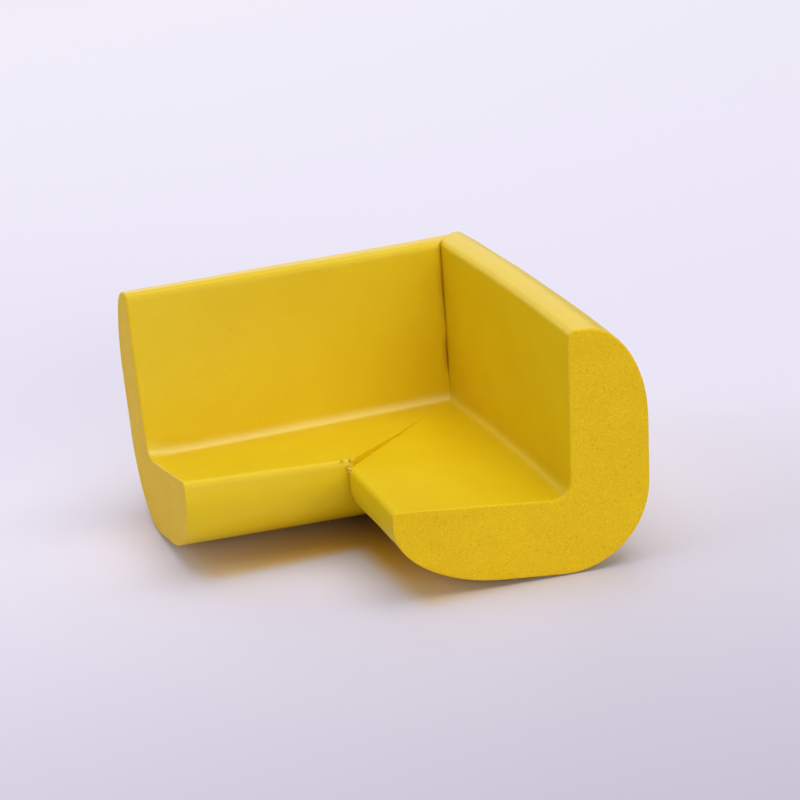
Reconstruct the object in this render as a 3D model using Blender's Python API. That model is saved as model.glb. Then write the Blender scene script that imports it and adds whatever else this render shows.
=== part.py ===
"""Furniture corner protector.

Two mitre-cut lengths of one soft foam extrusion, glued face to face, make a cap that
pushes onto the corner of a table or a shelf. The extrusion has a thick L section: an
upright wall and a flange that goes under the table top, joined by a large outer radius
and drawn out to soft, lopsided tips. The foam keeps a slight bow and twist.

Right leg along -Y, left leg along -X, flange below, +Z up. The origin is on the surface
it rests on, under the middle of its bounding box.
"""
import math

import bmesh
import bpy
from mathutils import Matrix, Vector

# The extruded section, in metres
WALL_HEIGHT = 0.035
FLANGE_WIDTH = 0.0357
THICKNESS = 0.0111
OUTER_RADIUS = 0.0121
INNER_FILLET = 0.0026

# The flange closes in on the wall a little, so it rises towards its tip
FLANGE_RISE_DEG = 4.8

# Each tip is a quarter ellipse on the outer side, which leaves a flat of this height
TIP_RUN = 0.0143
TIP_FLAT = 0.0025
TIP_EDGE_RADIUS = 0.0009

# Lengths of the legs along their hollow corner, from the inner corner to the cut end
RIGHT_LEG_LENGTH = 0.0471
LEFT_LEG_LENGTH = 0.0461

# How far each leg turns inward, and its flange upward, from the inner corner to the end
RIGHT_BOW_DEG = 4.9
LEFT_BOW_DEG = -2.3
RIGHT_TWIST_DEG = 0.5
LEFT_TWIST_DEG = 6.1

# How far each hand-cut end is out of square and out of plumb; positive angles lengthen
# the flange and the top of the wall
RIGHT_END_SKEW_DEG = -2.3
LEFT_END_SKEW_DEG = 1.3
RIGHT_END_LEAN_DEG = 3.4
LEFT_END_LEAN_DEG = 0.2

# The corner between the legs, and the glue line at its mitre
CORNER_ANGLE_DEG = 91.5
GLUE_GAP = 0.0003

# Spacing of points on curves, and of sections along a leg
LARGE_ARC_STEPS = 16
SMALL_ARC_STEPS = 6
BEND_STEPS = 6

# Finish of the foam
FOAM_YELLOW = (0.68, 0.42, 0.012, 1.0)
FOAM_ROUGHNESS = 0.62

COLLECTION_NAME = "furniture_corner_protector"


def clear_scene():
    for scene_object in list(bpy.data.objects):
        bpy.data.objects.remove(scene_object, do_unlink=True)


def make_collection():
    collection = bpy.data.collections.new(COLLECTION_NAME)
    bpy.context.scene.collection.children.link(collection)
    return collection


def foam_material(name):
    material = bpy.data.materials.new(name)
    material.use_nodes = True
    shader = material.node_tree.nodes["Principled BSDF"]
    shader.inputs["Base Color"].default_value = FOAM_YELLOW
    shader.inputs["Roughness"].default_value = FOAM_ROUGHNESS
    shader.inputs["Metallic"].default_value = 0.0
    material.diffuse_color = FOAM_YELLOW
    return material


def curve_points(centre, run, rise, start_deg, end_deg, steps):
    """Points along part of an ellipse, both ends included."""
    points = []
    for step in range(steps + 1):
        angle = math.radians(start_deg + (end_deg - start_deg) * step / steps)
        points.append((centre[0] + run * math.cos(angle), centre[1] + rise * math.sin(angle)))
    return points


def arc_points(centre, radius, start_deg, end_deg, steps):
    return curve_points(centre, radius, radius, start_deg, end_deg, steps)


def section_outline():
    """The L section, anticlockwise, as (inward from the outer face, height)."""
    tip_rise = THICKNESS - TIP_FLAT
    edge = TIP_EDGE_RADIUS
    points = []
    # Large outer corner, from the wall round to the underside
    corner = (OUTER_RADIUS, OUTER_RADIUS)
    points += arc_points(corner, OUTER_RADIUS, 180, 270, LARGE_ARC_STEPS)
    # Flange tip: up its curved underside to the flat, then the soft upper edge
    flange_tip = (FLANGE_WIDTH - TIP_RUN, tip_rise)
    points += curve_points(flange_tip, TIP_RUN, tip_rise, 270, 360, LARGE_ARC_STEPS)
    flange_edge = (FLANGE_WIDTH - edge, THICKNESS - edge)
    points += arc_points(flange_edge, edge, 0, 90, SMALL_ARC_STEPS)
    # Hollow corner between the flange and the wall
    hollow = (THICKNESS + INNER_FILLET, THICKNESS + INNER_FILLET)
    points += arc_points(hollow, INNER_FILLET, 270, 180, SMALL_ARC_STEPS)
    # Wall tip: the soft inner edge, the flat, then down its curved outer side
    wall_edge = (THICKNESS - edge, WALL_HEIGHT - edge)
    points += arc_points(wall_edge, edge, 0, 90, SMALL_ARC_STEPS)
    wall_tip = (tip_rise, WALL_HEIGHT - TIP_RUN)
    points += curve_points(wall_tip, tip_rise, TIP_RUN, 90, 180, LARGE_ARC_STEPS)
    slope = math.tan(math.radians(FLANGE_RISE_DEG))
    return [(inward, height + slope * max(0.0, inward - THICKNESS)) for inward, height in points]


def sweep_on(mesh, section, move):
    """Extrude the end face and move it on. Returns the new end face."""
    swept = bmesh.ops.extrude_face_region(mesh, geom=[section])["geom"]
    bmesh.ops.delete(mesh, geom=[section], context="FACES_ONLY")
    moved = [item for item in swept if isinstance(item, bmesh.types.BMVert)]
    bmesh.ops.transform(mesh, matrix=move, verts=moved)
    return next(item for item in swept if isinstance(item, bmesh.types.BMFace))


def slice_off(mesh, point, normal):
    """Cut the extrusion with a plane and close the cut. The normal points at the waste."""
    geometry = mesh.verts[:] + mesh.edges[:] + mesh.faces[:]
    cut = bmesh.ops.bisect_plane(mesh, geom=geometry, plane_co=point, plane_no=normal, clear_outer=True)
    rim = [item for item in cut["geom_cut"] if isinstance(item, bmesh.types.BMEdge)]
    bmesh.ops.contextual_create(mesh, geom=rim)


def bend_step(length, bow_deg, twist_deg):
    """One step out along a leg that bows inward and twists its flange upward."""
    half_turn = Matrix.Rotation(-math.radians(bow_deg) / (2 * BEND_STEPS), 4, "Z")
    forward = Matrix.Translation((0.0, length / BEND_STEPS, 0.0))
    roll = Matrix.Rotation(-math.radians(twist_deg) / BEND_STEPS, 4, "Y")
    return half_turn @ forward @ half_turn @ roll


def leg_mesh(name, length, bow_deg, twist_deg, skew_deg, lean_deg, placement):
    """One leg. Here x is inward from the outer face and y runs out from the corner."""
    skew = math.tan(math.radians(skew_deg))
    lean = math.tan(math.radians(lean_deg))
    # The leg turns about the line where its wall meets its flange
    opening = Matrix.Rotation(math.radians(CORNER_ANGLE_DEG - 90.0) / 2.0, 4, "Z")
    here = Matrix.Translation((THICKNESS, THICKNESS, THICKNESS)) @ opening
    stock_start = here @ Matrix.Translation((-THICKNESS, -2.0 * THICKNESS, -THICKNESS))
    mesh = bmesh.new()
    outline = [mesh.verts.new((inward, 0.0, height)) for inward, height in section_outline()]
    section = mesh.faces.new(outline)
    bmesh.ops.transform(mesh, matrix=stock_start, verts=mesh.verts[:])
    straight = here @ Matrix.Translation((0.0, 2.0 * THICKNESS, 0.0)) @ here.inverted()
    section = sweep_on(mesh, section, straight)
    step = bend_step(length, bow_deg, twist_deg)
    for _ in range(BEND_STEPS):
        section = sweep_on(mesh, section, here @ step @ here.inverted())
        here = here @ step
    waste = FLANGE_WIDTH * abs(skew) + WALL_HEIGHT * abs(lean) + THICKNESS
    beyond = here @ Matrix.Translation((0.0, waste, 0.0)) @ here.inverted()
    sweep_on(mesh, section, beyond)
    mitre_point = (0.0, GLUE_GAP / math.sqrt(2.0), 0.0)
    slice_off(mesh, mitre_point, (1.0, -1.0, 0.0))
    slice_off(mesh, here.translation, here.to_3x3() @ Vector((-skew, 1.0, -lean)))
    bmesh.ops.transform(mesh, matrix=placement, verts=mesh.verts[:])
    bmesh.ops.recalc_face_normals(mesh, faces=mesh.faces[:])
    data = bpy.data.meshes.new(name)
    mesh.to_mesh(data)
    mesh.free()
    data.shade_smooth()
    data.set_sharp_from_angle(angle=math.radians(30.0))
    return data


def add_leg(collection, name, form, placement):
    leg = bpy.data.objects.new(name, leg_mesh(name, *form, placement))
    leg.data.materials.append(foam_material(name + "_foam"))
    collection.objects.link(leg)
    return leg


def centre_over_floor(legs):
    """Bring the middle of the bounding box over the origin and its underside to height 0."""
    points = [vertex.co for leg in legs for vertex in leg.data.vertices]
    low = [min(point[axis] for point in points) for axis in range(3)]
    high = [max(point[axis] for point in points) for axis in range(3)]
    shift = Matrix.Translation((-(low[0] + high[0]) / 2.0, -(low[1] + high[1]) / 2.0, -low[2]))
    for leg in legs:
        leg.data.transform(shift)


def main():
    clear_scene()
    collection = make_collection()
    along_minus_y = Matrix.Diagonal((-1.0, -1.0, 1.0, 1.0))
    # Swapping the two plan axes makes the other hand
    swap_axes = Matrix(((0, 1, 0, 0), (1, 0, 0, 0), (0, 0, 1, 0), (0, 0, 0, 1)))
    right_form = (RIGHT_LEG_LENGTH, RIGHT_BOW_DEG, RIGHT_TWIST_DEG, RIGHT_END_SKEW_DEG, RIGHT_END_LEAN_DEG)
    left_form = (LEFT_LEG_LENGTH, LEFT_BOW_DEG, LEFT_TWIST_DEG, LEFT_END_SKEW_DEG, LEFT_END_LEAN_DEG)
    right_leg = add_leg(collection, "right_leg", right_form, along_minus_y)
    left_leg = add_leg(collection, "left_leg", left_form, along_minus_y @ swap_axes)
    centre_over_floor((right_leg, left_leg))


main()
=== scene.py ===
"""Looks of a soft foam corner protector for tables and shelves.

Two mitre-cut lengths of one foam extrusion meet at a glued seam. Here they get smooth
bends with slightly uneven skin, bare cut ends with rounded rims, the open parts of the
seam with their glue, and a pale floor under soft studio light.
"""
import math

import bmesh
import bpy
from bpy.props import FloatProperty, FloatVectorProperty, PointerProperty
from mathutils import Matrix, Vector, noise


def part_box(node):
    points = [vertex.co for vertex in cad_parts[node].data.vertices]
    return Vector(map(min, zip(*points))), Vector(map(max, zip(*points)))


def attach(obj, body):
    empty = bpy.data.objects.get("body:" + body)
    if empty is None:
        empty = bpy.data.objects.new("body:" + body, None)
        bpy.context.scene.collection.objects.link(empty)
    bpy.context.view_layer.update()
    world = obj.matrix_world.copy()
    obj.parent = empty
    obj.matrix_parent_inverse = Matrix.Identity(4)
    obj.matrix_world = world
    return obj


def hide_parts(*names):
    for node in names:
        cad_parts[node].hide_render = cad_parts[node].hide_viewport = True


bl_info = {
    "name": "Foam corner protector",
    "version": (1, 0, 0),
    "blender": (4, 5, 0),
    "location": "3D View > Sidebar > Corner Protector",
    "description": "Builds a foam corner protector with its glue, floor, lights and camera",
    "category": "Add Mesh",
}

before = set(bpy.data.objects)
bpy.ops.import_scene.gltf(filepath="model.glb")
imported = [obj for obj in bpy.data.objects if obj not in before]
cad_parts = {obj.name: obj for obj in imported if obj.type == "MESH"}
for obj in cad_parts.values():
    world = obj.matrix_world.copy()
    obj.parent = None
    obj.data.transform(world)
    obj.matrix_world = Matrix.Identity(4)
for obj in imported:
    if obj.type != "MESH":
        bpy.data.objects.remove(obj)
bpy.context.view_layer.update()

# The driving sizes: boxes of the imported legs, and shares of the wall's height
RIGHT_LOW, RIGHT_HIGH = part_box("right_leg")
LEFT_LOW, LEFT_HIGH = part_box("left_leg")
WALL_HEIGHT = RIGHT_HIGH.z - RIGHT_LOW.z
FLANGE_WIDTH = 1.0215 * WALL_HEIGHT
THICKNESS = 0.3164 * WALL_HEIGHT
RIGHT_REACH = RIGHT_HIGH.y - RIGHT_LOW.y
LEFT_REACH = LEFT_HIGH.x - LEFT_LOW.x
# The outer faces meet just past the boxes, because the glue line lies between the legs
CORNER_MARGIN = 0.01007 * WALL_HEIGHT
OUTER_CORNER = Vector((LEFT_HIGH.x + CORNER_MARGIN, RIGHT_HIGH.y + CORNER_MARGIN, 0.0))

MILLIMETRE = 0.001
DIAGONAL = math.sqrt(0.5)
UP = Vector((0.0, 0.0, 1.0))
RIGHT_HAND = -1.0
LEFT_HAND = 1.0

# How finely the foam is divided
POINT_SPACING = 0.5 * MILLIMETRE
LARGE_ARC_STEPS = 24
SMALL_ARC_STEPS = 5
HOLLOW_ARC_STEPS = 20
RINGS = 84
CUT_GRID = 1.1 * MILLIMETRE
CUT_MARGIN = 0.4 * MILLIMETRE
RIM_SEGMENTS = 3
BEAD_SUBDIVISIONS = 3
# Spacing of the rings at both ends of a leg, as a share of even spacing
RING_CROWDING = 0.15

# Places along the straight length that are closer than this are the same
SAME_PLACE = 1e-7
# Points closer than this to the ends of the long edges stay where they are
END_MARGIN = 1e-6

# Faces that meet at more than this keep a crisp edge
SHARP_ANGLE = math.radians(40.0)

# Steps that home in on the mitre
MITRE_STEPS = 6

# Distance over which the lean of the wall and the rise of the flange set in
KNEE = 2.0 * MILLIMETRE

# Where the seam's marks fade out: below the wall's inner face, along the flange as shares
# of its width, and down the face of the flange's tip
WALL_FADE = 1.5 * MILLIMETRE
FLANGE_FADE_START = 0.5
FLANGE_FADE_END = 0.85
TIP_FADE_START = 5.0 * MILLIMETRE
TIP_FADE_END = 1.0 * MILLIMETRE

# How far the seam's marks reach out along a leg
LIP_REACH = 0.35 * MILLIMETRE
STEP_REACH = 0.8 * MILLIMETRE
STEP_ROUNDING = 0.3 * MILLIMETRE
WANDER_REACH = 3.0 * MILLIMETRE

# Sizes of the unevenness along the seam, and the depths in the noise that they are read at
GROOVE_WAVE = 1.7 * MILLIMETRE
STAIN_AND_SHADE_WAVE = 2.4 * MILLIMETRE
SLOW_WANDER = 7.0 * MILLIMETRE
SLOW_DEPTH = 5.0 * MILLIMETRE
QUICK_WANDER = 1.6 * MILLIMETRE
QUICK_DEPTH = 9.0 * MILLIMETRE
# How strong that unevenness is, next to an even groove, a full glue stain with its painted shade and a slow
# wander
GROOVE_VARIATION = 0.8
STAIN_AND_SHADE_VARIATION = 0.9
QUICK_SHARE = 0.35
# Shares of the wall's groove at the flange's tip, of a full glue stain with its painted shade, and of the
# step's height that its rounded lip takes off
TIP_OPENING = 0.7
STAIN_AND_SHADE_LEVEL = 0.7
STEP_DROP = 0.6

# The hollow corner is a crease that opens to a round bend over this distance at the cut end
CREASE_OPENING = 7.0 * MILLIMETRE
# Powers in the bend's curve, where 2 is round and more comes closer to a sharp corner
ROUND_POWER = 2.0
CREASE_POWER = 8.0
# How far from the bend's centre the crease still draws the foam in, in shares of the fillet
HOLLOW_LIMIT = 1.05
# Where the painted highlight along the hollow corner's bend begins, from 0 at the ends of the bend to 1 in
# its middle
PAINTED_HIGHLIGHT_START = 0.35

# Waves in the skin, and the distances over which they rise from the seam and the floor
SKIN_WAVE = 8.0 * MILLIMETRE
SKIN_RIPPLE = 2.5 * MILLIMETRE
RIPPLE_SHARE = 0.35
CALM_AT_SEAM = 0.5 * MILLIMETRE
FULL_FROM_SEAM = 4.0 * MILLIMETRE
FULL_FROM_FLOOR = 3.0 * MILLIMETRE

# Lumps on a bead of glue, in shares of its radius, and its height in shares of its width
LUMP_SIZE = 0.9
LUMP_HEIGHT = 0.45
BEAD_FLATNESS = 0.75

# Sizes of what shows in the skin, in the cut foam, in the glue and in the paper
SKIN_GRAIN = 0.22 * MILLIMETRE
SKIN_PUCKER = 0.7 * MILLIMETRE
SKIN_CLOUD = 9.0 * MILLIMETRE
PINHOLE_SPACING = 3.4 * MILLIMETRE
SKIN_BUMP = 0.03 * MILLIMETRE
CUT_GRAIN = 0.17 * MILLIMETRE
CUT_WRINKLE = 0.3 * MILLIMETRE
CUT_PATCH = 5.0 * MILLIMETRE
OPEN_CELL_SPACING = 0.9 * MILLIMETRE
CELL_WALL_SPACING = 0.8 * MILLIMETRE
CELL_WALL_SHIFT = (0.013, 0.007, 0.021)
CUT_BUMP = 0.15 * MILLIMETRE
FILM_PATCH = 0.9 * MILLIMETRE
FILM_BUMP = 0.05 * MILLIMETRE
DUST_GRAIN = 0.25 * MILLIMETRE
DUST_BUMP = 0.04 * MILLIMETRE
PAPER_TOOTH = 1.5 * MILLIMETRE

# Colours of the film's pale patches and of the dust on a bead, as shares of the glue's own
FILM_PALER = 2.2
DUST_DARKER = 0.8

# The floor's size, and where its painted light fall-off changes, back from the middle of the part
FLOOR_SIZE = 1.5
NEAR_ENDS = -0.12
MIDDLE_STARTS = 0.02
MIDDLE_ENDS = 0.06
FAR_STARTS = 0.36
# The painted bounce light on the floor below the legs stays inside their boxes, and fades out from the nook
PAINTED_BOUNCE_EDGE = 1.5 * MILLIMETRE
PAINTED_BOUNCE_CORE = 4.0 * MILLIMETRE
PAINTED_BOUNCE_REACH = 34.0 * MILLIMETRE

# The camera aims at a place that is this far from the outer corner, and then shifts to the
# side and up, in millimetres
AIM_FROM_CORNER = Vector((-20.0, -20.0, 15.0)) * MILLIMETRE
AIM_ASIDE = -1.98
AIM_UP = 0.37
# Width of its sensor in millimetres, and the nearest distance it sees in metres
SENSOR_WIDTH = 36.0
NEAREST_VIEW = 0.01

# Material slots of the cut ends and of the beads
CUT_SLOT = 1
BEAD_SLOT = 1

# Names of the attributes that hold how much glue stain, partly painted shade, lies on the skin beside the
# seam, and how strong the painted highlight in the hollow corner is
STAIN_AND_SHADE = "stain"
PAINTED_HIGHLIGHT = "fold"


def length_property(name, description, default):
    return FloatProperty(
        name=name, description=description, default=default, min=0.0, precision=5, unit="LENGTH"
    )


def angle_property(name, description, degrees):
    return FloatProperty(name=name, description=description, default=math.radians(degrees), subtype="ANGLE")


def number_property(name, description, default):
    return FloatProperty(name=name, description=description, default=default, min=0.0)


def colour_property(name, description, default):
    return FloatVectorProperty(
        name=name, description=description, default=default, size=4, min=0.0, max=1.0, subtype="COLOR"
    )


class SectionSettings(bpy.types.PropertyGroup):
    height: length_property("Height", "Height of the upright wall", WALL_HEIGHT)
    flange_width: length_property("Flange width", "From the outer face to the flange's tip", FLANGE_WIDTH)
    thickness: length_property("Thickness", "Thickness of the wall and of the flange", THICKNESS)
    outer_radius: length_property("Outer radius", "Large radius below the outer face", 0.3467 * WALL_HEIGHT)
    inner_fillet: length_property("Inner fillet", "Radius between wall and flange", 0.0744 * WALL_HEIGHT)
    tip_run: length_property("Tip run", "Length of the curve that thins each tip", 0.41 * WALL_HEIGHT)
    tip_flat: length_property("Tip flat", "Straight part left on each tip", 0.0702 * WALL_HEIGHT)
    edge_radius: length_property("Edge radius", "Soft inner edge of each tip", 0.9 * MILLIMETRE)
    rim_radius: length_property("Rim radius", "Rounding of the skin at a cut end", 0.3 * MILLIMETRE)


class RightLegSettings(bpy.types.PropertyGroup):
    inner_length: length_property("Inner length", "From inner corner to cut end", 0.786 * RIGHT_REACH)
    bow: angle_property("Bow", "How far the leg closes in from corner to end", 4.87)
    cut_skew: angle_property("Cut skew", "Cut end out of square, seen from above", -2.29)
    cut_lean: angle_property("Cut lean", "Cut end out of plumb", 3.44)
    wall_lean: angle_property("Wall lean", "Lean of the wall to the outside", 1.15)
    flange_rise: angle_property("Flange rise", "Rise of the flange towards its tip", 5.18)
    twist: angle_property("Twist", "Turn of the section from corner to end", 0.45)
    # Strength of the painted highlight in the hollow corner
    fold: number_property("Fold", "How pale the fold in the hollow corner is", 0.1)


class LeftLegSettings(bpy.types.PropertyGroup):
    inner_length: length_property("Inner length", "From inner corner to cut end", 0.785 * LEFT_REACH)
    bow: angle_property("Bow", "How far the leg closes in from corner to end", -2.28)
    cut_skew: angle_property("Cut skew", "Cut end out of square, seen from above", 1.35)
    cut_lean: angle_property("Cut lean", "Cut end out of plumb", 0.15)
    wall_lean: angle_property("Wall lean", "Lean of the wall to the outside", -0.37)
    flange_rise: angle_property("Flange rise", "Rise of the flange towards its tip", 4.42)
    twist: angle_property("Twist", "Turn of the section from corner to end", 6.13)
    # Strength of the painted highlight in the hollow corner
    fold: number_property("Fold", "How pale the fold in the hollow corner is", 0.4)


class SeamSettings(bpy.types.PropertyGroup):
    corner_angle: angle_property("Corner angle", "Angle between the two legs", 91.45)
    hairline: length_property("Hairline", "Half of the gap that the glue fills", 0.004 * MILLIMETRE)
    groove: length_property("Groove", "Half width of the open groove over the glue", 0.005 * MILLIMETRE)
    groove_depth: length_property("Groove depth", "How deep the groove is", 0.08 * MILLIMETRE)
    edge_radius: length_property("Edge radius", "Rounding of the foam along the seam", 0.015 * MILLIMETRE)
    wander: length_property("Wander", "How far the seam strays from a straight line", 0.3 * MILLIMETRE)
    step: length_property("Step", "How far the left flange stands above the right one", 0.2 * MILLIMETRE)
    # Reach of the glue stain and its painted shade beside the seam
    stain_and_shade_reach: length_property("Smear", "How far thin glue stains the foam beside the seam", 0.45 * MILLIMETRE)
    bead_radius: length_property("Bead radius", "Size that the beads of glue are shares of", 0.6 * MILLIMETRE)


class FoamSettings(bpy.types.PropertyGroup):
    skin: colour_property("Skin", "Main colour of the foam's skin", (0.77, 0.53, 0.002, 1.0))
    skin_pale: colour_property("Pale skin", "Paler patches of the skin", (0.81, 0.585, 0.006, 1.0))
    # Colour of the painted highlight along the hollow corner's crease
    fold: colour_property("Fold", "Skin stretched pale in the hollow corner", (0.98, 0.84, 0.34, 1.0))
    pore: colour_property("Pore", "Pinholes in the skin", (0.36, 0.2, 0.003, 1.0))
    cut: colour_property("Cut face", "Bare foam at the cut ends", (0.81, 0.50, 0.003, 1.0))
    cut_dark: colour_property("Open cell", "Open cells in the cut foam", (0.42, 0.25, 0.003, 1.0))
    cut_pale: colour_property("Cell wall", "Torn cell walls in the cut foam", (0.99, 0.70, 0.012, 1.0))
    waviness: length_property("Waviness", "Height of the soft waves in the skin", 0.06 * MILLIMETRE)


class GlueSettings(bpy.types.PropertyGroup):
    film: colour_property("Glue film", "Glue inside the seam", (0.62, 0.40, 0.01, 1.0))
    # Glue stain beside the seam, which also paints in shade there
    stain: colour_property("Glue stain", "Thin glue on the skin beside the seam", (0.62, 0.39, 0.008, 1.0))
    bead: colour_property("Glue bead", "Squeezed-out glue", (0.80, 0.54, 0.05, 1.0))


class StageSettings(bpy.types.PropertyGroup):
    # Painted light fall-off: the floor darker in front and paler far behind
    floor_near_painted_shade: colour_property("Near floor", "Floor in front of the part", (0.51, 0.49, 0.565, 1.0))
    floor_middle: colour_property("Middle floor", "Floor around the part", (0.79, 0.76, 0.87, 1.0))
    floor_far_painted_light: colour_property("Far floor", "Floor far behind the part", (0.94, 0.92, 0.99, 1.0))
    # Painted bounce light from the yellow foam on the floor below the legs
    floor_painted_bounce: colour_property("Floor below", "Floor lit by the foam above it", (0.77, 0.51, 0.07, 1.0))
    light_colour: colour_property("Light colour", "Colour of all the lights", (0.97, 0.96, 1.0, 1.0))
    surround_strength: number_property("Surround strength", "Strength of the light from all round", 0.16)
    overhead_power: number_property("Overhead power", "Watts of the light overhead", 6.1)
    high_back_power: number_property("High back power", "Watts of the light high behind", 1.2)
    low_back_power: number_property("Low back power", "Watts of the light low behind", 4.4)
    left_power: number_property("Left power", "Watts of the light on the left", 2.1)
    right_power: number_property("Right power", "Watts of the light on the right", 1.0)
    front_power: number_property("Front power", "Watts of the low light in front", 4.2)
    azimuth: angle_property("Camera azimuth", "Direction of the camera around the part", -19.30)
    elevation: angle_property("Camera elevation", "Height of the camera above level", 19.17)
    roll: angle_property("Camera roll", "Turn of the camera about its own line of sight", -5.12)
    distance: length_property("Camera distance", "From the camera to what it aims at", 475.8 * MILLIMETRE)
    focal_length: number_property("Focal length", "Millimetres of lens on a 36 mm sensor", 150.0)


class ProtectorSettings(bpy.types.PropertyGroup):
    section: PointerProperty(type=SectionSettings, name="Section", description="Shape of the extrusion")
    right_leg: PointerProperty(type=RightLegSettings, name="Right leg", description="Form of the right leg")
    left_leg: PointerProperty(type=LeftLegSettings, name="Left leg", description="Form of the left leg")
    seam: PointerProperty(type=SeamSettings, name="Seam", description="The glued mitre")
    foam: PointerProperty(type=FoamSettings, name="Foam", description="Finish of the foam")
    glue: PointerProperty(type=GlueSettings, name="Glue", description="Finish of the glue")
    stage: PointerProperty(type=StageSettings, name="Stage", description="Floor, light and camera")


class Shade:
    """A shader value that takes part in Python arithmetic."""

    def __init__(self, graph, socket):
        self.graph = graph
        self.socket = socket

    def math(self, operation, first, second):
        return self.graph.node("ShaderNodeMath", {"operation": operation}, {0: first, 1: second}, "Value")

    def __add__(self, other):
        return self.math("ADD", self, other)

    def __radd__(self, other):
        return self.math("ADD", other, self)

    def __sub__(self, other):
        return self.math("SUBTRACT", self, other)

    def __rsub__(self, other):
        return self.math("SUBTRACT", other, self)

    def __mul__(self, other):
        return self.math("MULTIPLY", self, other)

    def __rmul__(self, other):
        return self.math("MULTIPLY", other, self)

    def __lt__(self, other):
        return self.math("LESS_THAN", self, other)

    def output(self, name):
        """Another output of the same node."""
        return Shade(self.graph, self.socket.node.outputs[name])


class Graph:
    """The nodes of one material."""

    def __init__(self, name):
        self.material = bpy.data.materials.new(name)
        self.material.use_nodes = True
        self.tree = self.material.node_tree
        self.shader = self.tree.nodes["Principled BSDF"]

    def feed(self, socket, value):
        if isinstance(value, Shade):
            self.tree.links.new(value.socket, socket)
        else:
            socket.default_value = value

    def node(self, kind, settings, sockets, output):
        node = self.tree.nodes.new(kind)
        for setting, value in settings.items():
            if setting == "stops":
                self.set_stops(node.color_ramp, value)
            else:
                setattr(node, setting, value)
        for name, value in sockets.items():
            self.feed(node.inputs[name], value)
        return Shade(self, node.outputs[output])

    def set_stops(self, ramp, stops):
        while len(ramp.elements) < len(stops):
            ramp.elements.new(1.0)
        for element, (place, level) in zip(ramp.elements, stops):
            element.position = place
            element.color = (level, level, level, 1.0)

    def place(self):
        return self.node("ShaderNodeTexCoord", {}, {}, "Object")

    def shifted(self, place, offset):
        return self.node("ShaderNodeMapping", {}, {"Vector": place, "Location": offset}, "Vector")

    def attribute(self, name):
        return self.node("ShaderNodeAttribute", {"attribute_name": name}, {}, "Fac")

    def grain(self, place, size, detail=2.0):
        """Noise around 0.5 whose features are about that size."""
        sockets = {"Vector": place, "Scale": 1.0 / size, "Detail": detail, "Roughness": 0.55}
        return self.node("ShaderNodeTexNoise", {}, sockets, "Fac")

    def cells(self, place, size):
        """Distance from the middle of scattered cells, in shares of their size."""
        sockets = {"Vector": place, "Scale": 1.0 / size}
        return self.node("ShaderNodeTexVoronoi", {}, sockets, "Distance")

    def specks(self, place, size, reach, share):
        """1 inside small round specks, in the middle of that share of the cells."""
        distance = self.cells(place, size)
        chance = self.node("ShaderNodeSeparateColor", {}, {"Color": distance.output("Color")}, "Red")
        return self.ramp(distance, reach, 0.5 * reach) * (chance < share)

    def ramp(self, value, dark, bright):
        """Turns value from 0 at dark to 1 at bright."""
        stops = [(dark, 0.0), (bright, 1.0)]
        if dark > bright:
            stops = [(bright, 1.0), (dark, 0.0)]
        return self.node("ShaderNodeValToRGB", {"stops": stops}, {"Fac": value}, "Color")

    def stretch(self, value, start, end):
        """0 up to start, 1 from end on, and straight between them."""
        sockets = {"Value": value, "From Min": start, "From Max": end}
        return self.node("ShaderNodeMapRange", {}, sockets, "Result")

    def patch(self, x, y, low, high, edge):
        """1 well inside a box seen from above, fading out towards its sides."""
        shares = [
            self.stretch(place, start + edge, start + 3.0 * edge) * self.stretch(place, end, end - edge)
            for place, start, end in ((x, low.x, high.x), (y, low.y, high.y))
        ]
        return shares[0] * shares[1]

    def mix(self, factor, first, second):
        # Several sockets of this node share a name, so those for colours go by number
        settings = {"data_type": "RGBA"}
        sockets = {0: factor, 6: first, 7: second}
        return self.node("ShaderNodeMix", settings, sockets, 2)

    def bump(self, height, depth):
        sockets = {"Height": height, "Distance": depth, "Strength": 1.0}
        return self.node("ShaderNodeBump", {}, sockets, "Normal")

    def finish(self, **sockets):
        for name, value in sockets.items():
            self.feed(self.shader.inputs[name.replace("_", " ")], value)
        return self.material


def foam_skin(foam, glue):
    """Satin skin: fine grain, faint clouds, few pinholes, a painted highlight in the hollow corner, and glue
    stain beside the seam that is partly painted shade.
    """
    graph = Graph("foam_skin")
    place = graph.place()
    fine = graph.grain(place, SKIN_GRAIN)
    cloud = graph.grain(place, SKIN_CLOUD, detail=3.0)
    pinholes = graph.specks(place, PINHOLE_SPACING, reach=0.05, share=0.2)
    tone = 0.65 * cloud + 0.35 * fine
    colour = graph.mix(graph.ramp(tone, 0.3, 0.7), tuple(foam.skin), tuple(foam.skin_pale))
    colour = graph.mix(0.5 * pinholes, colour, tuple(foam.pore))
    # Painted highlight along the crease of the hollow corner
    colour = graph.mix(graph.attribute(PAINTED_HIGHLIGHT), colour, tuple(foam.fold))
    # Glue stain beside the seam, partly painted shade in the corner between the legs
    colour = graph.mix(graph.attribute(STAIN_AND_SHADE), colour, tuple(glue.stain))
    height = 0.6 * fine + 0.4 * graph.grain(place, SKIN_PUCKER) - 0.8 * pinholes
    return graph.finish(
        Base_Color=colour,
        Roughness=0.32 + 0.14 * fine,
        Normal=graph.bump(height, SKIN_BUMP),
        IOR=1.33,
        Metallic=0.0,
    )


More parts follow.
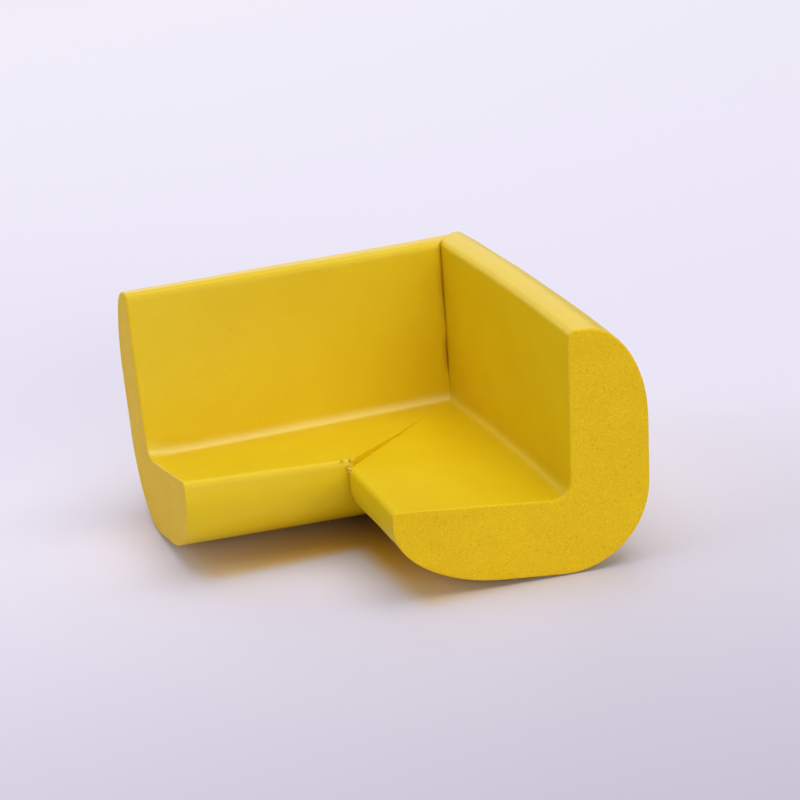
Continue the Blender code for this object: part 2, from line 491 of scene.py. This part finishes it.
def foam_cut(foam):
    """Bare closed-cell foam: a dull face with dark open cells and pale torn walls."""
    graph = Graph("foam_cut")
    place = graph.place()
    fine = graph.grain(place, CUT_GRAIN)
    wrinkles = graph.grain(place, CUT_WRINKLE, detail=3.0)
    patch = graph.grain(place, CUT_PATCH)
    open_cells = graph.specks(place, OPEN_CELL_SPACING, reach=0.24, share=0.6)
    moved = graph.shifted(place, CELL_WALL_SHIFT)
    pale_walls = graph.specks(moved, CELL_WALL_SPACING, reach=0.28, share=0.7)
    tone = graph.ramp(0.4 * fine + 0.45 * wrinkles + 0.15 * patch, 0.38, 0.62)
    colour = graph.mix(0.6 * tone, tuple(foam.cut), tuple(foam.cut_pale))
    colour = graph.mix(0.2 * open_cells, colour, tuple(foam.cut_dark))
    colour = graph.mix(0.5 * pale_walls, colour, tuple(foam.cut_pale))
    height = 0.7 * fine + 0.6 * wrinkles - 0.25 * open_cells + 0.3 * pale_walls
    return graph.finish(
        Base_Color=colour,
        Roughness=0.78 + 0.14 * fine,
        Sheen_Weight=0.12,
        Normal=graph.bump(height, CUT_BUMP),
        IOR=1.25,
        Metallic=0.0,
    )


def glue_film(glue):
    """Old contact glue inside the seam, paler in patches."""
    graph = Graph("glue_film")
    patches = graph.grain(graph.place(), FILM_PATCH)
    paler = tuple(min(1.0, FILM_PALER * part) for part in glue.film)
    colour = graph.mix(graph.ramp(patches, 0.35, 0.75), tuple(glue.film), paler)
    bump = graph.bump(patches, FILM_BUMP)
    return graph.finish(Base_Color=colour, Roughness=0.35 + 0.2 * patches, Normal=bump)


def glue_bead(glue):
    """Squeezed-out glue, dried pale, with darker dust on it."""
    graph = Graph("glue_bead")
    dust = graph.grain(graph.place(), DUST_GRAIN)
    dusty = tuple(DUST_DARKER * part for part in glue.bead[:3]) + (1.0,)
    colour = graph.mix(graph.ramp(dust, 0.35, 0.65), tuple(glue.bead), dusty)
    bump = graph.bump(dust, DUST_BUMP)
    return graph.finish(Base_Color=colour, Roughness=0.6 + 0.2 * dust, IOR=1.33, Normal=bump)


def floor_paper(stage):
    """Pale matt paper with a faint tooth, with painted light fall-off that makes it paler towards the back,
    and painted bounce light that makes it warm below the legs.
    """
    graph = Graph("floor_paper")
    place = graph.place()
    tooth = graph.grain(place, PAPER_TOOTH)
    beside = graph.node("ShaderNodeSeparateXYZ", {}, {"Vector": place}, "X")
    behind = beside.output("Y")
    # Painted light fall-off from the darker front to the paler back
    near_to_middle = graph.stretch(behind, NEAR_ENDS, MIDDLE_STARTS)
    middle_to_far = graph.stretch(behind, MIDDLE_ENDS, FAR_STARTS)
    colour = graph.mix(near_to_middle, tuple(stage.floor_near_painted_shade), tuple(stage.floor_middle))
    colour = graph.mix(middle_to_far, colour, tuple(stage.floor_far_painted_light))
    # Painted bounce light from the yellow foam, inside the legs' boxes
    painted_bounce_right = graph.patch(beside, behind, RIGHT_LOW, RIGHT_HIGH, PAINTED_BOUNCE_EDGE)
    painted_bounce_left = graph.patch(beside, behind, LEFT_LOW, LEFT_HIGH, PAINTED_BOUNCE_EDGE)
    painted_bounce = 1.0 - (1.0 - painted_bounce_right) * (1.0 - painted_bounce_left)
    # The painted bounce light is strongest in the nook between the tips of the flanges
    nook = OUTER_CORNER - Vector((FLANGE_WIDTH, FLANGE_WIDTH, 0.0))
    away = graph.node("ShaderNodeVectorMath", {"operation": "DISTANCE"}, {0: place, 1: nook}, "Value")
    painted_bounce = painted_bounce * graph.stretch(away, PAINTED_BOUNCE_REACH, PAINTED_BOUNCE_CORE)
    colour = graph.mix(painted_bounce, colour, tuple(stage.floor_painted_bounce))
    return graph.finish(Base_Color=colour, Roughness=0.82 + 0.08 * tooth)


def ellipse_points(centre, run, rise, start_deg, end_deg, steps):
    """Points along part of an ellipse, both ends included."""
    points = []
    for step in range(steps + 1):
        angle = math.radians(start_deg + (end_deg - start_deg) * step / steps)
        points.append((centre[0] + run * math.cos(angle), centre[1] + rise * math.sin(angle)))
    return points


def points_between(start, end):
    """Evenly spaced points between two others, without those two."""
    count = max(1, round(math.dist(start, end) / POINT_SPACING))
    run, rise = end[0] - start[0], end[1] - start[1]
    shares = [step / count for step in range(1, count)]
    return [(start[0] + run * share, start[1] + rise * share) for share in shares]


def section_outline(section):
    """The L section, anticlockwise, as (inward from the outer face, height)."""
    radius = section.outer_radius
    edge = section.edge_radius
    fillet = section.inner_fillet
    tip_run = section.tip_run
    tip_rise = section.thickness - section.tip_flat
    hollow = section.thickness + fillet
    bends = (
        # Large outer corner, then the flange's tip and its soft edge
        ((radius, radius), radius, radius, 180, 270, LARGE_ARC_STEPS),
        ((section.flange_width - tip_run, tip_rise), tip_run, tip_rise, 270, 360, LARGE_ARC_STEPS),
        ((section.flange_width - edge, section.thickness - edge), edge, edge, 0, 90, SMALL_ARC_STEPS),
        # The hollow corner, then the wall's soft edge and its tip
        ((hollow, hollow), fillet, fillet, 270, 180, HOLLOW_ARC_STEPS),
        ((section.thickness - edge, section.height - edge), edge, edge, 0, 90, SMALL_ARC_STEPS),
        ((tip_rise, section.height - tip_run), tip_rise, tip_run, 90, 180, LARGE_ARC_STEPS),
    )
    points = []
    for bend in bends:
        curve = ellipse_points(*bend)
        if points:
            points += points_between(points[-1], curve[0])
        points += curve
    return points + points_between(points[-1], points[0])


def soft_ramp(value, softness):
    """0 below zero and the value itself above it, with a rounded knee."""
    return 0.5 * (value + math.sqrt(value * value + softness * softness))


def smooth_step(value, low, high):
    """0 below low and 1 above high, with a soft start and end between them."""
    share = min(1.0, max(0.0, (value - low) / (high - low)))
    return share * share * (3.0 - 2.0 * share)


def bell(distance, reach):
    """1 at no distance, and almost nothing from twice that reach on."""
    return math.exp(-((distance / reach) ** 2))


def uneven(inward, height, depth, size):
    """Noise around 0 whose features are about that size."""
    return noise.noise(Vector((inward, height, depth)) / size)


class LegForm:
    """Gives a straight length of foam the real leg's place, bow, twist and lean.

    A point is given by its distance along the leg from the inner corner, its distance
    inward from the outer face, and its height.
    """

    def __init__(self, section, leg, seam, hand):
        self.section = section
        self.leg = leg
        self.seam = seam
        self.hand = hand

    def mitre_at(self, inward, height):
        """Where a line along the leg meets the mitre, which stands on the corner's diagonal."""
        along = 0.0
        for _ in range(MITRE_STEPS):
            place = self.position(along, inward, height) - OUTER_CORNER
            aside = self.hand * DIAGONAL * (place.y - place.x)
            along -= aside / math.sin(self.seam.corner_angle / 2.0)
        return along

    def cut_at(self, inward, height):
        skewed = (inward - self.section.thickness) * math.tan(self.leg.cut_skew)
        leaned = (height - self.section.thickness) * math.tan(self.leg.cut_lean)
        return self.leg.inner_length + skewed + leaned

    def wall_share(self, inward, height):
        """1 on the inner face of the wall, fading out over its top and in the hollow corner."""
        section = self.section
        foot = section.thickness + section.inner_fillet
        brow = section.height - section.edge_radius
        share = smooth_step(height, foot, foot + section.inner_fillet)
        share *= 1.0 - smooth_step(height, brow, section.height)
        return share * smooth_step(inward, section.thickness - WALL_FADE, section.thickness)

    def flange_share(self, inward, height):
        """1 at the flange's tip, fading out towards the hollow corner and down the tip's face."""
        width, top = self.section.flange_width, self.section.thickness
        share = smooth_step(inward, FLANGE_FADE_START * width, FLANGE_FADE_END * width)
        return share * smooth_step(height, top - TIP_FADE_START, top - TIP_FADE_END)

    def groove_at(self, inward, height):
        """Half the width of the open seam. It is closed except on the wall and at the flange's tip."""
        varied = 1.0 + GROOVE_VARIATION * uneven(inward, height, 0.0, GROOVE_WAVE)
        opened = max(self.wall_share(inward, height), TIP_OPENING * self.flange_share(inward, height))
        return self.seam.groove * varied * opened

    def stain_and_shade_at(self, out, inward, height):
        """How much thin glue stain, partly painted shade, lies on the skin beside the seam, from 0 to 1."""
        patchy = max(0.0, STAIN_AND_SHADE_LEVEL + STAIN_AND_SHADE_VARIATION * uneven(inward, height, out, STAIN_AND_SHADE_WAVE))
        return bell(out, self.seam.stain_and_shade_reach) * patchy * self.wall_share(inward, height)

    def step_at(self, out, inward, height):
        """How far the left flange stands up beside the seam."""
        if self.hand == RIGHT_HAND:
            return 0.0
        rounded = 1.0 - STEP_DROP * bell(out, STEP_ROUNDING)
        return self.seam.step * bell(out, STEP_REACH) * rounded * self.flange_share(inward, height)

    def in_hollow(self, inward, height):
        """Place from the centre of the hollow corner's bend, in shares of its fillet, or None."""
        fillet = self.section.inner_fillet
        across = (self.section.thickness + fillet - inward) / fillet
        down = (self.section.thickness + fillet - height) / fillet
        if across < 0.0 or down < 0.0 or math.hypot(across, down) > HOLLOW_LIMIT:
            return None
        return across, down

    def painted_highlight_at(self, inward, height):
        """How strong the painted highlight is: 1 in the middle of the hollow corner's bend, fading out to
        both its ends.
        """
        place = self.in_hollow(inward, height)
        if place is None:
            return 0.0
        return smooth_step(min(place) / max(place), PAINTED_HIGHLIGHT_START, 1.0)

    def tightened(self, out, inward, height):
        """Draws the hollow corner into a crease, which opens to its full radius at the cut end."""
        place = self.in_hollow(inward, height)
        if place is None:
            return inward, height
        across, down = place
        fillet = self.section.inner_fillet
        centre = self.section.thickness + fillet
        crease = smooth_step(self.leg.inner_length - out, 0.0, CREASE_OPENING)
        power = ROUND_POWER + (CREASE_POWER - ROUND_POWER) * crease
        reach = (across ** power + down ** power) ** (-1.0 / power) * math.hypot(across, down)
        return centre - fillet * across * reach, centre - fillet * down * reach

    def wander_at(self, inward, height):
        """How far the seam strays from the mitre."""
        slow = uneven(inward, height, SLOW_DEPTH, SLOW_WANDER)
        quick = uneven(inward, height, QUICK_DEPTH, QUICK_WANDER)
        return self.seam.wander * (slow + QUICK_SHARE * quick)

    def along(self, out, inward, height):
        """Distance along the leg of a point of the straight length, out from its mitre end."""
        share = out / self.leg.inner_length
        start = self.mitre_at(inward, height)
        finish = self.cut_at(inward, height) - self.leg.inner_length
        wander = self.wander_at(inward, height) * math.exp(-max(out, 0.0) / WANDER_REACH)
        spot = (1.0 - share) * start + share * finish + self.seam.hairline - self.hand * wander
        if out < 0.0:
            return spot
        return spot + out + self.groove_at(inward, height) * bell(out, LIP_REACH)

    def position(self, along, inward, height):
        """Place of a point in the part's frame."""
        section, leg = self.section, self.leg
        # The bow is an arc from the inner corner on, and straight behind it
        beyond = max(along, 0.0)
        behind = min(along, 0.0)
        start = self.seam.corner_angle / 2.0
        curvature = leg.bow / leg.inner_length
        heading = start - curvature * beyond
        forward = (math.sin(start) - math.sin(heading)) / curvature + math.cos(start) * behind
        sideways = (math.cos(heading) - math.cos(start)) / curvature + math.sin(start) * behind
        # The section's own lean and rise, and then its twist
        across = inward - section.thickness
        above = height - section.thickness
        lifted = above + math.tan(leg.flange_rise) * soft_ramp(across, KNEE)
        leaned = across - math.tan(leg.wall_lean) * soft_ramp(above, KNEE)
        turn = leg.twist * beyond / leg.inner_length
        inset = leaned * math.cos(turn) - lifted * math.sin(turn)
        rise = leaned * math.sin(turn) + lifted * math.cos(turn)
        forward += inset * math.sin(heading)
        sideways -= inset * math.cos(heading)
        x = -section.thickness - DIAGONAL * (forward + self.hand * sideways)
        y = -section.thickness - DIAGONAL * (forward - self.hand * sideways)
        return OUTER_CORNER + Vector((x, y, section.thickness + rise))

    def shape(self, mesh):
        """Moves a straight length to its place, and notes each point's glue stain with its painted shade, and
        its painted highlight.
        """
        stain = mesh.verts.layers.float.new(STAIN_AND_SHADE)
        fold = mesh.verts.layers.float.new(PAINTED_HIGHLIGHT)
        for vertex in mesh.verts:
            inward, out, height = vertex.co
            # Glue stain and painted shade beside the seam
            vertex[stain] = self.stain_and_shade_at(out, inward, height)
            # Painted highlight in the hollow corner's bend
            vertex[fold] = self.leg.fold * self.painted_highlight_at(inward, height)
            inward, height = self.tightened(out, inward, height)
            raised = self.step_at(out, inward, height)
            vertex.co = self.position(self.along(out, inward, height), inward, height) + raised * UP


def lies_at(item, place):
    """Whether an edge or a face lies at that place along the straight length."""
    return all(abs(vertex.co.y - place) < SAME_PLACE for vertex in item.verts)


def end_face(mesh, place):
    """The largest face at that place along the straight length."""
    faces = [face for face in mesh.faces if lies_at(face, place)]
    return max(faces, key=lambda face: face.calc_area())


def extruded_section(section, length):
    """A straight length of the section, which lies along Y from 0 on."""
    mesh = bmesh.new()
    outline = [mesh.verts.new((inward, 0.0, height)) for inward, height in section_outline(section)]
    face = mesh.faces.new(outline)
    swept = bmesh.ops.extrude_face_region(mesh, geom=[face])
    moved = [item for item in swept["geom"] if isinstance(item, bmesh.types.BMVert)]
    bmesh.ops.translate(mesh, verts=moved, vec=(0.0, length, 0.0))
    bmesh.ops.recalc_face_normals(mesh, faces=mesh.faces[:])
    return mesh


def round_rim(mesh, place, radius):
    rim = [edge for edge in mesh.edges if lies_at(edge, place)]
    bmesh.ops.bevel(
        mesh,
        geom=rim,
        offset=radius,
        affect="EDGES",
        segments=RIM_SEGMENTS,
        profile=0.5,
        material=-1,
    )


def divide_length(mesh, length):
    """Cuts the long edges into rings, crowded towards both ends."""
    long_edges = [edge for edge in mesh.edges if edge.calc_length() > 0.5 * length]
    low = min(vertex.co.y for edge in long_edges for vertex in edge.verts)
    high = max(vertex.co.y for edge in long_edges for vertex in edge.verts)
    bmesh.ops.subdivide_edges(mesh, edges=long_edges, cuts=RINGS, use_grid_fill=True)
    for vertex in mesh.verts:
        if low + END_MARGIN < vertex.co.y < high - END_MARGIN:
            share = (vertex.co.y - low) / (high - low)
            bunched = (1.0 - RING_CROWDING) / math.tau * math.sin(math.tau * share)
            vertex.co.y = low + (high - low) * (share - bunched)


def divide_cut(mesh, section, length):
    """Splits the cut face into a grid, so that it can be uneven."""
    face = end_face(mesh, length)
    bmesh.ops.inset_region(mesh, faces=[face], thickness=CUT_MARGIN)
    geometry = [face] + face.edges[:] + face.verts[:]
    for axis, reach in ((Vector((1.0, 0.0, 0.0)), section.flange_width), (UP, section.height)):
        for step in range(1, int(reach / CUT_GRID)):
            point = axis * (step * CUT_GRID)
            cut = bmesh.ops.bisect_plane(mesh, geom=geometry, plane_co=point, plane_no=axis)
            geometry = cut["geom"]


def open_groove(mesh, depth):
    """Leaves the middle of the mitre face proud of its rim, so that the seam is a groove."""
    bmesh.ops.inset_region(mesh, faces=[end_face(mesh, 0.0)], thickness=depth, depth=depth)


def roughen(mesh, foam, seed):
    """Low waves in the skin and the cut end, which die out towards the floor and the seam."""
    mesh.normal_update()
    shift = Vector((seed, 2.0 * seed, 3.0 * seed))
    for vertex in mesh.verts:
        wave = noise.noise(vertex.co / SKIN_WAVE + shift)
        ripple = noise.noise(vertex.co / SKIN_RIPPLE + shift)
        room = smooth_step(vertex.co.y, CALM_AT_SEAM, FULL_FROM_SEAM)
        room *= smooth_step(vertex.co.z, 0.0, FULL_FROM_FLOOR)
        vertex.co += vertex.normal * foam.waviness * room * (wave + RIPPLE_SHARE * ripple)


def face_outward(mesh):
    """Turns all faces outward. On its own the recalculation can turn a bent leg inside out."""
    bmesh.ops.recalc_face_normals(mesh, faces=mesh.faces[:])
    if mesh.calc_volume(signed=True) < 0.0:
        bmesh.ops.reverse_faces(mesh, faces=mesh.faces[:])


def finished_object(mesh, name, materials):
    data = bpy.data.meshes.new(name)
    mesh.to_mesh(data)
    mesh.free()
    for material in materials:
        data.materials.append(material)
    data.shade_smooth()
    data.set_sharp_from_angle(angle=SHARP_ANGLE)
    piece = bpy.data.objects.new(name, data)
    bpy.context.scene.collection.objects.link(piece)
    return piece


def build_leg(settings, leg, hand, node, seed):
    """Extrudes, rounds, divides and roughens a straight length, then bends it to its place."""
    section, seam = settings.section, settings.seam
    length = leg.inner_length
    mesh = extruded_section(section, length)
    end_face(mesh, length).material_index = CUT_SLOT
    round_rim(mesh, 0.0, seam.edge_radius)
    round_rim(mesh, length, section.rim_radius)
    divide_length(mesh, length)
    divide_cut(mesh, section, length)
    open_groove(mesh, seam.groove_depth)
    roughen(mesh, settings.foam, seed)
    LegForm(section, leg, seam, hand).shape(mesh)
    face_outward(mesh)
    materials = [bpy.data.materials["foam_skin"], bpy.data.materials["foam_cut"]]
    piece = finished_object(mesh, node + "_foam", materials)
    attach(piece, "root")
    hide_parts(node)


def film_mesh(section, seam):
    """A thin sheet of glue that fills the seam up to just under the skin."""
    mesh = extruded_section(section, seam.hairline)
    bmesh.ops.translate(mesh, verts=mesh.verts[:], vec=(0.0, -0.5 * seam.hairline, 0.0))
    ends = [end_face(mesh, 0.5 * side * seam.hairline) for side in (1.0, -1.0)]
    for face in ends:
        bmesh.ops.inset_region(mesh, faces=[face], thickness=seam.groove_depth)
    return mesh


def add_bead(mesh, place, radius, seed):
    """A lump of dried glue, uneven and a little flattened."""
    made = bmesh.ops.create_icosphere(mesh, subdivisions=BEAD_SUBDIVISIONS, radius=radius)
    shift = Vector((seed, 1.7 * seed, 2.3 * seed))
    for vertex in made["verts"]:
        lump = noise.noise(vertex.co / (LUMP_SIZE * radius) + shift)
        vertex.co *= 1.0 + LUMP_HEIGHT * lump
        vertex.co.z *= BEAD_FLATNESS
    bmesh.ops.translate(mesh, verts=made["verts"], vec=place)
    faces = {face for vertex in made["verts"] for face in vertex.link_faces}
    for face in faces:
        face.material_index = BEAD_SLOT
        face.smooth = True


def right_beads(section, seam):
    """Where glue came out on the right leg, as (out from the mitre, inward, height, size)."""
    tip = section.flange_width
    top = section.thickness
    radius = seam.bead_radius
    return (
        # In the nook between the flanges, and down the face of the tip
        (0.25 * radius, tip - 0.25 * radius, top - 0.15 * radius, 0.55),
        (0.3 * radius, tip - 0.1 * radius, top - 0.8 * radius, 0.4),
        (0.6 * radius, tip - 1.2 * radius, top - 0.05 * radius, 0.2),
        # Back along the seam on the flange
        (0.3 * radius, tip - 7.6 * radius, top, 0.3),
        (0.2 * radius, tip - 8.6 * radius, top, 0.25),
    )


def left_beads(section, seam):
    """Where glue came out along the tip of the left leg, in the same terms."""
    tip = section.flange_width
    top = section.thickness + 0.5 * seam.step
    radius = seam.bead_radius
    return (
        (0.3 * radius, tip - 0.2 * radius, top - 0.45 * radius, 0.6),
        (0.8 * radius, tip - 0.25 * radius, top - 0.1 * radius, 0.25),
        (2.7 * radius, tip - 0.25 * radius, top - 0.15 * radius, 0.3),
        (2.1 * radius, tip - 0.1 * radius, top - 0.3 * radius, 0.2),
    )


def build_glue(settings):
    """The film in the seam and the beads beside it, as one piece."""
    section, seam = settings.section, settings.seam
    right_form = LegForm(section, settings.right_leg, seam, RIGHT_HAND)
    left_form = LegForm(section, settings.left_leg, seam, LEFT_HAND)
    mesh = film_mesh(section, seam)
    for vertex in mesh.verts:
        inward, out, height = vertex.co
        inward, height = right_form.tightened(0.0, inward, height)
        wander = right_form.wander_at(inward, height)
        along = right_form.mitre_at(inward, height) + out + wander
        vertex.co = right_form.position(along, inward, height)
    beads = [(right_form, bead) for bead in right_beads(section, seam)]
    beads += [(left_form, bead) for bead in left_beads(section, seam)]
    for number, (form, (out, inward, height, size)) in enumerate(beads):
        place = form.position(form.mitre_at(inward, height) + out, inward, height)
        add_bead(mesh, place, size * seam.bead_radius, number)
    face_outward(mesh)
    piece = finished_object(mesh, "glue_line", [glue_film(settings.glue), glue_bead(settings.glue)])
    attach(piece, "root")


class PROTECTOR_OT_foam_legs(bpy.types.Operator):
    """Build both legs of the corner protector"""

    bl_idname = "protector.foam_legs"
    bl_label = "Foam Legs"

    def execute(self, context):
        settings = context.scene.protector
        foam_skin(settings.foam, settings.glue)
        foam_cut(settings.foam)
        build_leg(settings, settings.right_leg, RIGHT_HAND, "right_leg", seed=1.0)
        build_leg(settings, settings.left_leg, LEFT_HAND, "left_leg", seed=2.0)
        return {"FINISHED"}


class PROTECTOR_OT_glue(bpy.types.Operator):
    """Fill the seam with glue and leave a few beads where it came out"""

    bl_idname = "protector.glue"
    bl_label = "Glue"

    def execute(self, context):
        build_glue(context.scene.protector)
        return {"FINISHED"}


def add_area_light(name, place, aim, size, power, colour):
    """A soft box at that place, turned towards what it aims at."""
    light = bpy.data.lights.new(name, "AREA")
    light.shape = "RECTANGLE"
    light.size = size[0]
    light.size_y = size[1]
    light.energy = power
    light.color = colour
    lamp = bpy.data.objects.new(name, light)
    lamp.location = place
    lamp.rotation_euler = (aim - place).to_track_quat("-Z", "Y").to_euler()
    bpy.context.scene.collection.objects.link(lamp)


def add_lights(stage):
    """Large soft lights all round, as (name, place, size, watts), aimed at the part."""
    lights = (
        ("overhead", (0.1, -0.15, 0.9), (1.0, 0.8), stage.overhead_power),
        ("high_back", (0.0, 0.5, 0.7), (0.9, 0.6), stage.high_back_power),
        ("low_back", (0.0, 1.3, 0.3), (1.6, 0.5), stage.low_back_power),
        ("left", (-0.9, 0.1, 0.5), (0.7, 0.7), stage.left_power),
        ("right", (0.9, 0.1, 0.5), (0.7, 0.7), stage.right_power),
        ("front", (0.1, -1.0, 0.28), (0.7, 0.45), stage.front_power),
    )
    aim = Vector((0.0, 0.0, 0.0))
    for name, place, size, power in lights:
        add_area_light(name, Vector(place), aim, size, power, stage.light_colour[:3])


def add_camera(stage):
    """The camera of the photograph: a long lens, a little rolled."""
    azimuth, elevation, roll = stage.azimuth, stage.elevation, stage.roll
    level = math.cos(elevation)
    back = Vector((math.sin(azimuth) * level, -math.cos(azimuth) * level, math.sin(elevation)))
    flat_right = (-back).cross(UP).normalized()
    flat_up = flat_right.cross(-back)
    right = math.cos(roll) * flat_right + math.sin(roll) * flat_up
    up = math.cos(roll) * flat_up - math.sin(roll) * flat_right
    aim = OUTER_CORNER + AIM_FROM_CORNER + (AIM_ASIDE * right + AIM_UP * up) * MILLIMETRE
    data = bpy.data.cameras.new("camera")
    data.sensor_width = SENSOR_WIDTH
    data.lens = stage.focal_length
    data.clip_start = NEAREST_VIEW
    camera = bpy.data.objects.new("camera", data)
    turned = Matrix((right, up, back)).transposed().to_4x4()
    camera.matrix_world = Matrix.Translation(aim + back * stage.distance) @ turned
    bpy.context.scene.collection.objects.link(camera)
    bpy.context.scene.camera = camera


def add_floor(stage):
    mesh = bmesh.new()
    bmesh.ops.create_grid(mesh, x_segments=2, y_segments=2, size=FLOOR_SIZE)
    floor = finished_object(mesh, "floor", [floor_paper(stage)])


def add_world(stage):
    world = bpy.data.worlds.new("studio")
    world.use_nodes = True
    background = world.node_tree.nodes["Background"]
    background.inputs["Color"].default_value = tuple(stage.light_colour)
    background.inputs["Strength"].default_value = stage.surround_strength
    bpy.context.scene.world = world


class PROTECTOR_OT_stage(bpy.types.Operator):
    """Add the floor, the soft lights and the camera"""

    bl_idname = "protector.stage"
    bl_label = "Stage"

    def execute(self, context):
        stage = context.scene.protector.stage
        add_floor(stage)
        add_world(stage)
        add_lights(stage)
        add_camera(stage)
        context.scene.view_settings.view_transform = "Standard"
        return {"FINISHED"}


class PROTECTOR_PT_sidebar(bpy.types.Panel):
    """Buttons for the parts of the corner protector"""

    bl_idname = "PROTECTOR_PT_sidebar"
    bl_label = "Corner Protector"
    bl_space_type = "VIEW_3D"
    bl_region_type = "UI"
    bl_category = "Corner Protector"

    def draw(self, context):
        for operator in OPERATORS:
            self.layout.operator(operator.bl_idname)


OPERATORS = (PROTECTOR_OT_foam_legs, PROTECTOR_OT_glue, PROTECTOR_OT_stage)
CLASSES = (
    SectionSettings,
    RightLegSettings,
    LeftLegSettings,
    SeamSettings,
    FoamSettings,
    GlueSettings,
    StageSettings,
    ProtectorSettings,
) + OPERATORS + (PROTECTOR_PT_sidebar,)


def register():
    for cls in CLASSES:
        bpy.utils.register_class(cls)
    bpy.types.Scene.protector = PointerProperty(
        type=ProtectorSettings, name="Corner protector", description="Sizes and colours of the protector"
    )


def unregister():
    del bpy.types.Scene.protector
    for cls in reversed(CLASSES):
        bpy.utils.unregister_class(cls)


def main():
    register()
    bpy.ops.protector.foam_legs()
    bpy.ops.protector.glue()
    bpy.ops.protector.stage()


if __name__ == "__main__":
    main()
